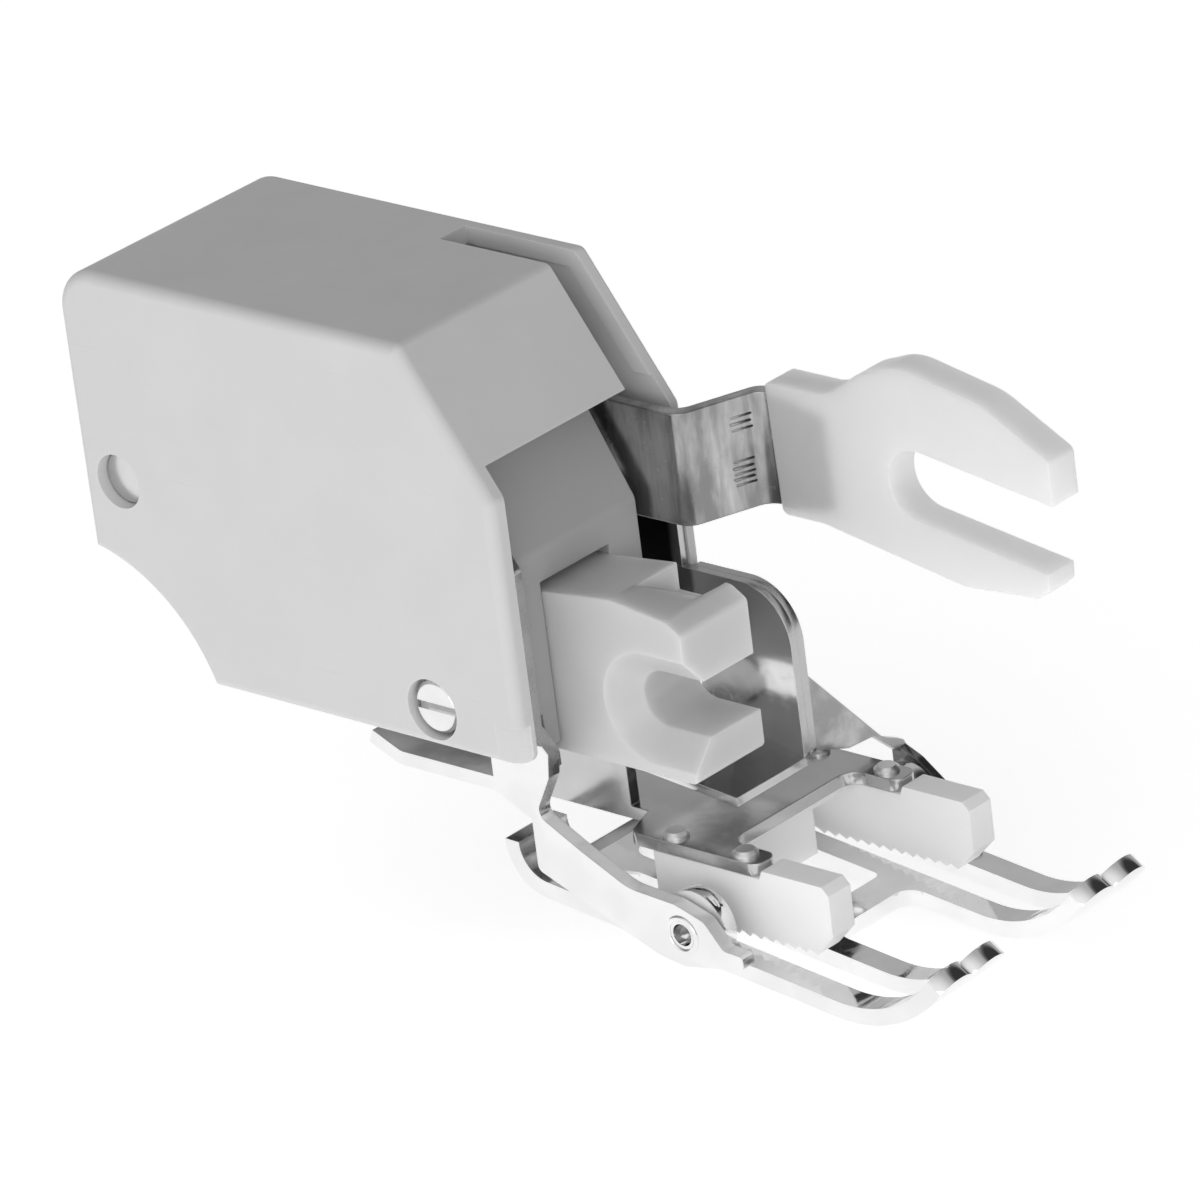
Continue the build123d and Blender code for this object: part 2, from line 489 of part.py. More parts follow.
def make_rocker():
    """Two-ended fork that turns the lever's lift into the feed's drop."""
    half = ROCKER_HUB
    front_end = FRONT_ARM + 2.2
    rear_end = ROCKER_REAR_ARM + 2.4
    arm = side_plate([(-front_end, -2.4), (rear_end, -2.7), (rear_end, 2.7), (-front_end, 2.4)],
                     [0.8, 0.8, 0.8, 0.8], ROCKER_X, ROCKER_X + ROCKER_THICKNESS)
    arm += x_rod(half, ROCKER_X, ROCKER_X + ROCKER_THICKNESS, 0, 0)
    arm -= x_rod(ROCKER_PIN_RADIUS + RUNNING_FIT, 0, THROUGH, 0, 0)
    rear_gap = DRIVE_PIN_RADIUS + CLEARANCE
    front_gap = SLIDE_PIN_RADIUS + CLEARANCE
    rear_slot = DRIVE_Y - ROCKER_Y - rear_gap - 0.8
    arm -= block(0, THROUGH, rear_slot, rear_end + 1, -rear_gap, rear_gap)
    arm -= block(0, THROUGH, -front_end - 1, -FRONT_ARM + front_gap + 0.4, -front_gap, front_gap)
    return Pos(0, ROCKER_Y, ROCKER_Z) * Rot(-ROCKER_HALF_TILT, 0, 0) * arm


def make_slide():
    """Upright plate that the rocker moves up and down."""
    points = [(SLIDE_FRONT, SLIDE_BOTTOM), (SLIDE_FRONT, SLIDE_TOP), (SLIDE_REAR, SLIDE_TOP),
              (SLIDE_REAR, SLIDE_BOTTOM)]
    slide = side_plate(points, 0.5, SLIDE_X, SLIDE_X + SLIDE_SHEET)
    slide += block(SLIDE_X, SLIDE_X + SLIDE_SHEET, LIFT_SPRING_Y - SPRING_STUD_RADIUS,
                   LIFT_SPRING_Y + SPRING_STUD_RADIUS, SLIDE_TOP - 1, SLIDE_TOP + SPRING_STUD_LENGTH)
    slide -= x_rod(SLIDE_PIN_RADIUS, 0, THROUGH, SLIDE_PIN_Y, SLIDE_PIN_Z)
    for z in GUIDE_PIN_Z:
        slide -= x_rod(GUIDE_PIN_RADIUS, 0, THROUGH, GUIDE_PIN_Y, z)
    return slide


def make_guide_pins():
    """Two headed pins on the slide, on which the carrier runs back and forth."""
    pins = []
    for z in GUIDE_PIN_Z:
        pin = x_rod(GUIDE_PIN_RADIUS, CARRIER_X - 0.3, SLIDE_X + SLIDE_SHEET, GUIDE_PIN_Y, z)
        pin += x_rod(1.6, CARRIER_X - 1.0, CARRIER_X - 0.3, GUIDE_PIN_Y, z)
        pins.append(pin)
    return Compound(pins)


def make_carrier():
    """Bent sheet: an upright leg on the guide pins, a cross plate and two legs over the pads."""
    bottom = CARRIER_TOP - CARRIER_SHEET
    leg_front = GUIDE_PIN_Y - FEED_STROKE - GUIDE_PIN_RADIUS - 1.3
    upright = side_plate([(0.6, bottom), (0.6, -2.2), (leg_front, -2.2), (leg_front, 9.6),
                          (CARRIER_REAR, 9.6), (CARRIER_REAR, bottom)],
                         [0, 1.5, 1.5, 0.8, 0.8, 1.5], CARRIER_X, CARRIER_X + CARRIER_SHEET)
    gap = GUIDE_PIN_RADIUS + RUNNING_FIT
    for z in GUIDE_PIN_Z:
        upright -= block(0, THROUGH, GUIDE_PIN_Y - FEED_STROKE, GUIDE_PIN_Y, z - gap, z + gap)
        upright -= x_rod(gap, 0, THROUGH, GUIDE_PIN_Y, z)
        upright -= x_rod(gap, 0, THROUGH, GUIDE_PIN_Y - FEED_STROKE, z)
    left = SOLE_CENTRE - FEED_SLOT_OFFSET - LEG_WIDTH / 2
    right = SOLE_CENTRE + FEED_SLOT_OFFSET + LEG_WIDTH / 2
    tail = CARRIER_X + 5.6
    plan = [(left, -2.2), (left, LEG_FRONT), (left + LEG_WIDTH, LEG_FRONT), (left + LEG_WIDTH, -9.7),
            (right - LEG_WIDTH, -9.7), (right - LEG_WIDTH, LEG_FRONT), (right, LEG_FRONT), (right, -2.2),
            (tail, -1.0), (tail, 9.0), (CARRIER_X, 9.0), (CARRIER_X, -1.0)]
    carrier = upright + plan_plate(plan, [0.8, 0.9, 0.9, 1.5, 1.5, 0.9, 0.9, 0.8, 1, 1, 0, 0],
                                   bottom, CARRIER_TOP)
    for x, y in FEED_RIVETS:
        carrier -= z_rod(FEED_RIVET_RADIUS, bottom - 1, 0, x, y)
    return carrier


def make_feed_rivets():
    """Four round-headed rivets through the carrier's legs into the pads."""
    rivets = []
    for x, y in FEED_RIVETS:
        rivet = z_rod(FEED_RIVET_RADIUS, CARRIER_TOP - 3.0, CARRIER_TOP, x, y)
        head = z_rod(FEED_RIVET_RADIUS + 0.35, CARRIER_TOP, CARRIER_TOP + 0.45, x, y)
        head = chamfer(head.faces().sort_by(Axis.Z)[-1].edges(), 0.25)
        rivets.append(rivet + head)
    return Compound(rivets)


def pad_outline():
    """Side outline of one pad, with a row of feed teeth along its lower edge."""
    shelf = CARRIER_TOP - CARRIER_SHEET
    points = [(PAD_REAR, PAD_BOTTOM), (PAD_REAR, shelf), (LEG_FRONT - 0.1, shelf),
              (LEG_FRONT - 0.4, CARRIER_TOP - 0.3),
              (PAD_FRONT + PAD_TOP_CHAMFER, CARRIER_TOP - 0.3),
              (PAD_FRONT, CARRIER_TOP - 0.3 - PAD_TOP_CHAMFER),
              (PAD_FRONT, PAD_BOTTOM + PAD_TOE_CHAMFER), (PAD_FRONT + PAD_TOE_CHAMFER, PAD_BOTTOM)]
    tooth_count = int((PAD_REAR - PAD_FRONT - 2.4) / TOOTH_PITCH)
    for i in range(tooth_count):
        y = PAD_FRONT + PAD_TOE_CHAMFER + i * TOOTH_PITCH
        points.append((y + 0.3 * TOOTH_PITCH, PAD_BOTTOM - TOOTH_HEIGHT))
        points.append((y + TOOTH_PITCH, PAD_BOTTOM))
    return points


def make_pads():
    """One moulding: two toothed pads joined by a wall whose middle reaches into the sole's window."""
    pads = None
    shelf = CARRIER_TOP - CARRIER_SHEET
    for side in (-1, 1):
        x0 = SOLE_CENTRE + side * FEED_SLOT_OFFSET - PAD_WIDTH / 2
        pad = extrude(Plane.YZ.offset(x0) * make_face(Polyline(*pad_outline(), close=True)),
                      PAD_WIDTH, dir=(1, 0, 0))
        pads = pad if pads is None else pads + pad
    reach = FEED_SLOT_OFFSET - PAD_WIDTH / 2
    pads += block(SOLE_CENTRE - reach, SOLE_CENTRE + reach, PAD_WALL_FRONT, PAD_WALL_REAR,
                  PAD_WALL_BOTTOM, shelf)
    lug = SOLE_HALF - TOE_WIDTH - LUG_GAP
    pads += block(SOLE_CENTRE - lug, SOLE_CENTRE + lug, PAD_WALL_FRONT, PAD_WALL_REAR, PAD_BOTTOM,
                  PAD_WALL_BOTTOM)
    for x, y in FEED_RIVETS:
        pads -= z_rod(FEED_RIVET_RADIUS, CARRIER_TOP - 3.0, 0, x, y)
    return pads


def sole_sheet():
    """Side outline of the sole's sheet, level, with its pivot at the origin."""
    top = -PIVOT_ABOVE_SOLE
    toe_angle = radians(TOE_ANGLE)
    heel_angle = radians(HEEL_ANGLE)
    toe_centre = (-TOE_START, top + TOE_RADIUS)
    heel_centre = (HEEL_START, top + HEEL_RADIUS)

    def on_arc(centre, radius, angle, side):
        return (centre[0] + side * radius * sin(angle), centre[1] - radius * cos(angle))

    with BuildLine() as line:
        for step in (0, SOLE_SHEET):
            toe_mid = on_arc(toe_centre, TOE_RADIUS + step, toe_angle / 2, -1)
            toe_end = on_arc(toe_centre, TOE_RADIUS + step, toe_angle, -1)
            heel_mid = on_arc(heel_centre, HEEL_RADIUS + step, heel_angle / 2, 1)
            heel_end = on_arc(heel_centre, HEEL_RADIUS + step, heel_angle, 1)
            toe_foot = (-TOE_START, top - step)
            heel_foot = (HEEL_START, top - step)
            ThreePointArc(toe_end, toe_mid, toe_foot)
            Line(toe_foot, heel_foot)
            ThreePointArc(heel_foot, heel_mid, heel_end)
        Line(on_arc(toe_centre, TOE_RADIUS, toe_angle, -1),
             on_arc(toe_centre, TOE_RADIUS + SOLE_SHEET, toe_angle, -1))
        Line(on_arc(heel_centre, HEEL_RADIUS, heel_angle, 1),
             on_arc(heel_centre, HEEL_RADIUS + SOLE_SHEET, heel_angle, 1))
    return make_face(line.line)


def toe_scallop(x):
    """Cutter that leaves two round lobes on the end of one toe."""
    angle = radians(TOE_ANGLE)
    end = (x, -TOE_START - TOE_RADIUS * sin(angle), TOE_RADIUS * (1 - cos(angle)) - PIVOT_ABOVE_SOLE)
    plane = Plane(origin=end, x_dir=(1, 0, 0), z_dir=(0, sin(angle), cos(angle)))
    centre = TOE_WIDTH / 4
    depth = TOE_LOBE - sqrt(TOE_LOBE ** 2 - centre ** 2)
    cutter = Pos(0, (depth - 3) / 2) * Rectangle(TOE_WIDTH + 1, depth + 3)
    for side in (-1, 1):
        cutter -= Pos(side * centre, TOE_LOBE) * Circle(TOE_LOBE)
    return extrude(plane * cutter, 2.5, both=True)


def make_sole():
    """Chrome sole: open toes and heels, two feed slots, a window, two ears and scalloped tips."""
    face = sole_sheet()
    sole = extrude(Plane.YZ.offset(-SOLE_HALF) * face, 2 * SOLE_HALF, dir=(1, 0, 0))
    inner = SOLE_HALF - TOE_WIDTH
    deep = (-12, 12)
    crossbar_rear = -3.4
    crossbar_front = -6.0
    heel_inner = SOLE_HALF - HEEL_WIDTH
    web_rear = WEB_FRONT + WEB_DEPTH
    toe_gap = plan_plate([(-inner, -40), (inner, -40), (inner, crossbar_front), (-inner, crossbar_front)],
                         [0, 0, 1.5, 1.5], *deep)
    window = plan_plate([(-inner, crossbar_rear), (inner, crossbar_rear), (inner, WEB_FRONT),
                         (-inner, WEB_FRONT)], [0.5, 0.5, 1.2, 1.2], *deep)
    heel_gap = plan_plate([(-heel_inner, web_rear), (heel_inner, web_rear), (heel_inner, 40),
                           (-heel_inner, 40)], [0.8, 0.8, 0, 0], *deep)
    sole = sole - toe_gap - window - heel_gap
    half_slot = FEED_SLOT_WIDTH / 2
    for side in (-1, 1):
        x = side * FEED_SLOT_OFFSET
        slot = plan_plate([(x - half_slot, -FEED_SLOT_FRONT), (x + half_slot, -FEED_SLOT_FRONT),
                           (x + half_slot, FEED_SLOT_REAR), (x - half_slot, FEED_SLOT_REAR)],
                          [1.2, 1.2, 1.4, 1.4], *deep)
        sole -= slot
        sole -= toe_scallop(side * (SOLE_HALF - TOE_WIDTH / 2))
        ear_x = side * (ARM_CENTRE_OFFSET - LEFT_SHEET / 2 - CLEARANCE - EAR_SHEET)
        ear_far = ear_x + side * EAR_SHEET
        x0, x1 = sorted((ear_x, ear_far))
        ear = x_rod(EAR_RADIUS, x0, x1, 0, 0)
        ear -= block(x0 - 1, x1 + 1, -9, 9, -9, -PIVOT_ABOVE_SOLE - SOLE_SHEET)
        ear -= x_rod(EYELET_RADIUS + RUNNING_FIT, x0 - 1, x1 + 1, 0, 0)
        sole += ear
    return Pos(SOLE_CENTRE, PIVOT_Y, PIVOT_Z) * Rot(SOLE_PITCH, 0, 0) * sole


def make_eyelets():
    """Hollow pivots pressed into both arms, on which the sole's ears turn."""
    eyelets = []
    ear_far = ARM_CENTRE_OFFSET - LEFT_SHEET / 2
    for side, sheet in ((-1, LEFT_SHEET), (1, ARM_SHEET)):
        outer = SOLE_CENTRE + side * (ARM_CENTRE_OFFSET + sheet / 2)
        inner = SOLE_CENTRE + side * (ear_far - CLEARANCE - EAR_SHEET - CLEARANCE)
        flange = inner - side * 0.4
        x0, x1 = sorted((outer, inner))
        eyelet = x_rod(EYELET_RADIUS, x0, x1, PIVOT_Y, PIVOT_Z)
        f0, f1 = sorted((inner, flange))
        eyelet += x_rod(EYELET_FLANGE, f0, f1, PIVOT_Y, PIVOT_Z)
        eyelet -= x_rod(EYELET_BORE, -THROUGH, THROUGH, PIVOT_Y, PIVOT_Z)
        eyelets.append(eyelet)
    return Compound(eyelets)


def make_lever_pin():
    """Rear pivot pin, whose head shows in the housing's round hole."""
    pin = x_rod(LEVER_PIN_RADIUS, LEFT_PLATE_X, CAVITY_RIGHT, LEVER_Y, LEVER_Z)
    return pin + x_rod(LEVER_PIN_HEAD, LEFT_PLATE_X - 0.6, LEFT_PLATE_X, LEVER_Y, LEVER_Z)


def tube(outer, bore, x0, x1, y, z):
    """Plain tube along x."""
    return x_rod(outer, x0, x1, y, z) - x_rod(bore, x0 - 1, x1 + 1, y, z)


def make_lever_spacers():
    """Two tubes on the rear pin that keep the lever in line with its slot."""
    gap = 0.1
    left = tube(LEVER_SPACER_RADIUS, LEVER_PIN_RADIUS, LEFT_PLATE_INNER, LEVER_X - gap, LEVER_Y, LEVER_Z)
    right = tube(LEVER_SPACER_RADIUS, LEVER_PIN_RADIUS, LEVER_X + LEVER_SHEET + gap, RIGHT_PLATE_X,
                 LEVER_Y, LEVER_Z)
    return Compound([left, right])


def make_guide_channel():
    """Nylon channel on the right plate that keeps the slide upright."""
    rear_rail = SLIDE_REAR + CLEARANCE
    front_rail = SLIDE_FRONT - CLEARANCE
    back = SLIDE_X + SLIDE_SHEET + 0.2
    channel = block(back, RIGHT_PLATE_X, front_rail - RAIL, rear_rail + RAIL, CHANNEL_BOTTOM, CHANNEL_TOP)
    channel += block(SLIDE_X, back, rear_rail, rear_rail + RAIL, CHANNEL_BOTTOM, CHANNEL_TOP)
    channel += block(SLIDE_X, back, front_rail - RAIL, front_rail, CHANNEL_BOTTOM, CHANNEL_TOP)
    channel -= block(back + 1.6, RIGHT_PLATE_X - 1.2, front_rail, rear_rail, 0, 12)
    for y, z in CHANNEL_RIVETS:
        channel -= x_rod(ARM_RIVET_RADIUS, RIGHT_PLATE_X - 3, THROUGH, y, z)
    return channel


def make_channel_rivets():
    """Two rivets that hold the guide channel to the right plate."""
    rivets = []
    for y, z in CHANNEL_RIVETS:
        rivets.append(x_rod(ARM_RIVET_RADIUS, RIGHT_PLATE_X - 3, CAVITY_RIGHT, y, z))
    return Compound(rivets)


def make_spring_bracket():
    """Angle on the left plate: the seat of the feed's return spring, with a stud inside the coil."""
    seat_x = CARRIER_X + CARRIER_SHEET / 2
    low = STROKE_SPRING_Z - COIL_RADIUS - WIRE_RADIUS
    high = STROKE_SPRING_Z + COIL_RADIUS + 1.6
    far = STROKE_SPRING_SEAT + LEFT_SHEET
    bracket = block(LEFT_PLATE_INNER, seat_x + COIL_RADIUS + 0.7, STROKE_SPRING_SEAT, far, low, high)
    bracket += block(LEFT_PLATE_INNER, LEFT_PLATE_INNER + LEFT_SHEET, far - 5, far, STROKE_SPRING_Z, high)
    stud = Rot(90, 0, 0) * Cylinder(SPRING_STUD_RADIUS, SPRING_STUD_LENGTH)
    return bracket + Pos(seat_x, STROKE_SPRING_SEAT - SPRING_STUD_LENGTH / 2, STROKE_SPRING_Z) * stud


def coil(pitch, height):
    """Open coil spring along z, with its wire's centre line from z = 0 to the height."""
    helix = Helix(pitch, height, COIL_RADIUS)
    section = Plane(helix @ 0, z_dir=helix % 0) * RegularPolygon(WIRE_RADIUS, 6)
    return sweep(section, path=helix)


def make_stroke_spring():
    """Compression spring that pushes the carrier forward again."""
    start = CARRIER_REAR + WIRE_RADIUS + 0.2
    length = STROKE_SPRING_SEAT - WIRE_RADIUS - start
    spring = Rot(90, 0, 0) * coil(2.0, length)
    return Pos(CARRIER_X + CARRIER_SHEET / 2, start + length, STROKE_SPRING_Z) * spring


def make_lift_spring():
    """Tension spring between the roof and the slide's top, which holds the feed up at rest."""
    base = SLIDE_TOP + WIRE_RADIUS + 0.2
    height = HOUSING_HEIGHT - TOP_WALL - WIRE_RADIUS - base
    return Pos(LIFT_SPRING_X, LIFT_SPRING_Y, base) * coil(1.8, height)


lever_arm = make_lever()
parts = {
    "housing": make_housing(),
    "front_wall": make_front_wall(),
    "left_chassis_plate": make_left_chassis(),
    "right_chassis_plate": make_right_chassis(),
    "right_arm": make_right_arm(),
    "arm_rivets": make_arm_rivets(),
    "shank_block": make_shank_block(),
    "chassis_screw": make_screw(),
    "lever_pin": make_lever_pin(),
    "lever_spacers": make_lever_spacers(),
    "rocker_pin": x_rod(ROCKER_PIN_RADIUS, LEFT_PLATE_X, LEVER_X - 0.9, ROCKER_Y, ROCKER_Z),
    "rocker_spacer": tube(1.75, ROCKER_PIN_RADIUS, LEFT_PLATE_INNER, ROCKER_X - CLEARANCE,
                          ROCKER_Y, ROCKER_Z),
    "rocker_clip": tube(2.1, ROCKER_PIN_RADIUS, ROCKER_X + ROCKER_THICKNESS + CLEARANCE,
                        ROCKER_X + ROCKER_THICKNESS + CLEARANCE + 0.5, ROCKER_Y, ROCKER_Z),
    "guide_channel": make_guide_channel(),
    "channel_rivets": make_channel_rivets(),
    "spring_bracket": make_spring_bracket(),
    "lift_spring": make_lift_spring(),
    "stroke_spring": make_stroke_spring(),
    "sole_eyelets": make_eyelets(),
    "lever_arm": lever_arm,
    "needle_fork": make_fork(lever_arm),
    "drive_pin": x_rod(DRIVE_PIN_RADIUS, ROCKER_X - 0.4, LEVER_X + LEVER_SHEET, DRIVE_Y, DRIVE_Z),
    "rocker": make_rocker(),
    "lift_slide": make_slide(),
    "slide_pin": x_rod(SLIDE_PIN_RADIUS, SLIDE_X, ROCKER_X + ROCKER_THICKNESS + 0.3,
                       SLIDE_PIN_Y, SLIDE_PIN_Z),
    "guide_pins": make_guide_pins(),
    "feed_carrier": make_carrier(),
    "feed_pads": make_pads(),
    "feed_rivets": make_feed_rivets(),
    "sole": make_sole(),
}

os.makedirs("parts", exist_ok=True)
for name, shape in parts.items():
    placed = TO_ORIGIN * shape
    placed.label = name
    export_step(placed, f"parts/{name}.step")
print("feed travel", round(FEED_TRAVEL, 3), "rocker tilt", round(2 * ROCKER_HALF_TILT, 3))
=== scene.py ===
import json
import math

import bmesh
import bpy
from mathutils import Matrix, Vector

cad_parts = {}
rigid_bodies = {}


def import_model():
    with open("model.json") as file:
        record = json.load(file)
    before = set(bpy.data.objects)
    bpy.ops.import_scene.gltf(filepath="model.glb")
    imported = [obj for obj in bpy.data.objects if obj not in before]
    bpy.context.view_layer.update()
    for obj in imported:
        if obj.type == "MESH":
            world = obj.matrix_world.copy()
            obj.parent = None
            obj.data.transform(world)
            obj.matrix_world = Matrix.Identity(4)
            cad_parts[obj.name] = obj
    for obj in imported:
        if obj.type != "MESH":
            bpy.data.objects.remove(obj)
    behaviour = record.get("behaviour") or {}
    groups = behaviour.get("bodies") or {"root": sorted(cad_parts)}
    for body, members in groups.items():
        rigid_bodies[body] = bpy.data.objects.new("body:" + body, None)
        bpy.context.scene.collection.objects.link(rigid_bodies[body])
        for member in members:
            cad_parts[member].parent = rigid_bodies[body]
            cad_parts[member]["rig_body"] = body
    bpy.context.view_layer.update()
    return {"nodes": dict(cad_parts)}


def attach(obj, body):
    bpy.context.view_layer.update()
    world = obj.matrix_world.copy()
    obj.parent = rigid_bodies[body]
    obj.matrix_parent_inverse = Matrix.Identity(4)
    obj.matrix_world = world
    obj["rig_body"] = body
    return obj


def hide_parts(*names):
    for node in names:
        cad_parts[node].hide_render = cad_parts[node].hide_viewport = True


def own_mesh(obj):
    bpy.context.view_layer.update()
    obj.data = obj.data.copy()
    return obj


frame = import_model()
nodes = frame["nodes"]

MM = 0.001
# Where the housing's left face, front edge and lower edge lie in the part's own frame, in millimetres.
HOUSING_CORNER = Vector((-10.3, 7.5, -4.05))

# Places on the object, in housing millimetres.
LEFT_PLATE_EDGES_X = (1.5, 4.3)
RIGHT_PLATE_EDGES_X = (18.6, 19.5)
ARM_EDGES_X = (19.3, 20.2)
SOLE_LEFT_EAR_X = 4.6
HEEL_FRONT_Y = 4.2
EYELET_Y = -10.5
EYELET_Z = -11.8
LEFT_ARM_FACE_X = 3.0
RIGHT_ARM_FACE_X = 29.65
EYELET_RIM_RADIUS = 1.3
EYELET_RIM_WIRE = 0.22
# Housing y span inside the housing whose chassis faces get a near-black painted shade.
INNER_SHADE_DEPTH = (0.4, 13.0)
# The spring is 9.8 mm long, and the feed's stroke takes about 4 mm of that.
# Two groups of press marks on the lever's slanted strip: the housing x and y, and each rib's height.
PRESS_MARKS = [((21.75, -4.4), (19.7, 19.2, 18.7)), ((21.6, -4.34), (16.3, 15.8, 15.35, 14.95, 14.5))]
PRESS_MARK_SIZE = (1.7, 0.2, 0.16)
STRIP_ANGLE = math.radians(-21.2)

# How CAD edges are softened.
WELD_DISTANCE = 0.002
FLAT_ANGLE = math.radians(0.6)
CREASE_ANGLE = math.radians(32)

# The stage, in metres, and the camera that took the photograph.
FLOOR_HEIGHT = -0.0262
FLOOR_REACH = 2.5
CAMERA_AZIMUTH, CAMERA_ELEVATION, CAMERA_ROLL = (math.radians(a) for a in (-45.33, 23.703, -7.399))
CAMERA_AIM = Vector((-0.1, 7.5, -4.05))
CAMERA_RIGHT, CAMERA_UP, CAMERA_BACK = -1.386, 8.303, 763.4
CAMERA_LENS = 321.2


def at(x, y, z):
    """A point in metres from housing coordinates in millimetres."""
    return (HOUSING_CORNER + Vector((x, y, z))) * MM


class Graph:
    """A material's or a world's node tree, with short ways to add and join nodes.

    Noise scales are counts per metre.
    """

    def __init__(self, tree):
        self.tree = tree
        tree.nodes.clear()

    def add(self, kind, links=None, **settings):
        node = self.tree.nodes.new(kind)
        for name, value in settings.items():
            setattr(node, name, value)
        for socket, source in (links or {}).items():
            self.put(node, socket, source)
        return node

    def put(self, node, socket, source):
        if isinstance(source, bpy.types.NodeSocket):
            self.tree.links.new(source, node.inputs[socket])
        else:
            node.inputs[socket].default_value = source

    def math(self, operation, a, b=0.0, clamp=False):
        return self.add("ShaderNodeMath", {0: a, 1: b}, operation=operation, use_clamp=clamp).outputs[0]

    def remap(self, value, low, high, to_low=0.0, to_high=1.0):
        links = {"Value": value, "From Min": low, "From Max": high, "To Min": to_low, "To Max": to_high}
        return self.add("ShaderNodeMapRange", links, interpolation_type="SMOOTHSTEP").outputs["Result"]

    def noise(self, vector, scale, detail=3.0, roughness=0.5):
        links = {"Vector": vector, "Scale": scale, "Detail": detail, "Roughness": roughness}
        return self.add("ShaderNodeTexNoise", links).outputs["Fac"]

    def stretched(self, vector, factors):
        return self.add("ShaderNodeVectorMath", {0: vector, 1: factors}, operation="MULTIPLY").outputs[0]

    def blend(self, factor, a, b):
        node = self.add("ShaderNodeMix", data_type="RGBA", blend_type="MIX")
        self.put(node, 0, factor)
        self.put(node, 6, a)
        self.put(node, 7, b)
        return node.outputs[2]


def grey(value):
    return (value, value, value, 1.0)


def start_material(name):
    material = bpy.data.materials.new(name)
    material.use_nodes = True
    graph = Graph(material.node_tree)
    position = graph.add("ShaderNodeTexCoord").outputs["Object"]
    shader = graph.add("ShaderNodeBsdfPrincipled")
    output = graph.add("ShaderNodeOutputMaterial")
    graph.tree.links.new(shader.outputs[0], output.inputs["Surface"])
    return material, graph, position, shader


def edge_mask(graph, reach):
    """1 along edges and corners, 0 on open faces."""
    rounded = graph.add("ShaderNodeBevel", {"Radius": reach * MM}, samples=4).outputs[0]
    normal = graph.add("ShaderNodeNewGeometry").outputs["Normal"]
    dot = graph.add("ShaderNodeVectorMath", {0: rounded, 1: normal}, operation="DOT_PRODUCT")
    return graph.remap(dot.outputs["Value"], 0.995, 0.86)


def scratches(graph, position, factors, sharpness=0.62):
    """Thin broken lines along one direction."""
    lines = graph.noise(graph.stretched(position, factors), 1000.0, 2.0)
    return graph.remap(lines, sharpness, sharpness + 0.06)


def plastic(name, tone, roughness, grain, rubbing_and_highlight=0.35, milky=0.0, depth=1.3):
    """Moulded plastic: faint clouding, fine grain, paler edges that are partly real wear and partly a
    painted edge highlight, and a few hairline scratches.
    """
    material, g, position, shader = start_material(name)
    clouds = g.noise(position, 140.0, 4.0)
    specks = g.noise(position, 5200.0, 2.0)
    lines = scratches(g, position, (0.9, 0.12, 3.1), 0.7)
    edges = edge_mask(g, 0.35)
    base = g.blend(clouds, grey(tone * 0.95), grey(tone * 1.04))
    # Paler edges: partly real wear, partly a painted edge highlight.
    rubbed_and_highlit = g.blend(g.math("MULTIPLY", edges, rubbing_and_highlight), base, grey(min(tone * 1.18, 0.95)))
    marked = g.blend(g.math("MULTIPLY", lines, 0.10), rubbed_and_highlit, grey(tone * 0.7))
    g.put(shader, "Base Color", marked)
    uneven = g.remap(g.noise(position, 420.0, 3.0), 0.3, 0.7, roughness - 0.06, roughness + 0.07)
    g.put(shader, "Roughness", g.math("SUBTRACT", uneven, g.math("MULTIPLY", edges, 0.08)))
    height = g.math("ADD", g.math("MULTIPLY", specks, grain), g.math("MULTIPLY", lines, -0.25))
    bump = g.add("ShaderNodeBump", {"Strength": 0.35, "Distance": 0.02 * MM, "Height": height})
    g.put(shader, "Normal", bump.outputs[0])
    shader.inputs["IOR"].default_value = 1.52
    if milky:
        shader.inputs["Subsurface Weight"].default_value = milky
        shader.inputs["Subsurface Radius"].default_value = (1.0, 1.0, 1.0)
        shader.inputs["Subsurface Scale"].default_value = depth * MM
    return material


